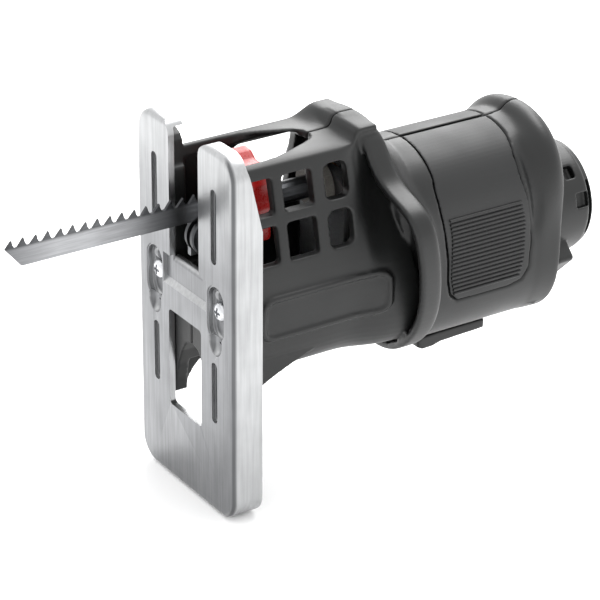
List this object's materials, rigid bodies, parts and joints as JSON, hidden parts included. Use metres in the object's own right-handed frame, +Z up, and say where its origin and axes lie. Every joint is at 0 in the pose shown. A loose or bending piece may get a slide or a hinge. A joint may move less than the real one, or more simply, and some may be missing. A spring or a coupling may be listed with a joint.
{
  "type": "jigsaw head",
  "caption": "Jigsaw head with a pressed steel shoe, ribbed grip, guard collar, plunging saw blade in a tool-free clamp, and a round rear coupling for a separate power unit.",
  "frame": {"origin": "centre of the coupling's rear face, on the drive axis", "axes": "+X along the drive axis towards the power unit, so the blade points to -X; +Z up, the way the blade's teeth point; +Y to the right side"},
  "size_m": [0.1988, 0.0732, 0.1179],
  "materials": {
    "housing": "spark-eroded charcoal moulding",
    "grip": "soft overmoulded elastomer with fine ribs",
    "tongue": "smooth charcoal moulding",
    "shoe": "deep-drawn, zinc-plated, lightly brushed",
    "screw": "bright zinc plate",
    "steel": "ground",
    "blade": "ground flanks, blued teeth",
    "gear": "sintered steel, oiled",
    "bronze": "sintered bronze",
    "zinc": "die-cast, tumbled",
    "red": "satin red moulding",
    "felt": "pressed wool felt"
  },
  "bodies": {
    "housing": {"housing_left": "housing", "housing_right": "housing", "coupling_plug": "housing", "grip_insert_left": "grip", "grip_insert_right": "grip", "switch_tongue": "tongue", "shoe": "shoe", "shoe_screw_left": "screw", "shoe_screw_right": "screw", "housing_screw_1": "screw", "housing_screw_2": "screw", "housing_screw_3": "screw", "housing_screw_4": "screw", "housing_screw_5": "screw", "crank_axle": "steel", "front_spindle_bearing": "steel", "rear_spindle_bearing": "steel", "roller_pin": "steel", "front_plunger_bush": "bronze", "rear_plunger_bush": "bronze", "gear_carrier": "zinc", "bearing_plate": "zinc", "roller_bracket": "zinc", "dust_felt": "felt"},
    "input_spindle": {"input_spindle": "steel", "drive_pinion": "gear", "spindle_circlip": "steel"},
    "crank": {"crank_gear": "gear", "crank_pin": "steel"},
    "crank_roller": {"crank_roller": "bronze"},
    "plunger": {"plunger_rod": "steel", "yoke": "zinc", "yoke_collar": "steel", "clamp_body": "steel", "clamp_spring": "steel", "clamp_stop_ring": "steel"},
    "clamp_lever": {"clamp_lever": "red"},
    "blade": {"blade": "blade"},
    "guide_roller": {"guide_roller": "steel"}
  },
  "joints": [
    {"name": "spindle_spin", "type": "hinge", "parent": "housing", "child": "input_spindle", "pos_m": [-0.02, 0, 0], "axis": [1, 0, 0], "continuous": true},
    {"name": "crank_spin", "type": "hinge", "parent": "housing", "child": "crank", "pos_m": [-0.0715, 0, 0], "axis": [0, 0, 1], "continuous": true},
    {"name": "crank_roller_spin", "type": "hinge", "parent": "crank", "child": "crank_roller", "pos_m": [-0.0785, 0, 0], "axis": [0, 0, 1], "continuous": true},
    {"name": "plunger_stroke", "type": "slide", "parent": "housing", "child": "plunger", "axis": [1, 0, 0], "range_m": [0, 0.014]},
    {"name": "clamp_lever_turn", "type": "hinge", "parent": "plunger", "child": "clamp_lever", "pos_m": [-0.1205, 0, 0.0245], "axis": [1, 0, 0], "range_deg": [0, 35], "stiffness_Nm_per_rad": 0.02, "springref_deg": -11.46},
    {"name": "blade_pull", "type": "slide", "parent": "plunger", "child": "blade", "axis": [-1, 0, 0], "range_m": [0, 0.02]},
    {"name": "guide_roller_spin", "type": "hinge", "parent": "housing", "child": "guide_roller", "pos_m": [-0.133, 0, 0.0175], "axis": [0, 1, 0], "continuous": true}
  ],
  "couplings": [
    {"joint": "spindle_spin", "follows": "crank_spin", "ratio": -2.5}
  ]
}
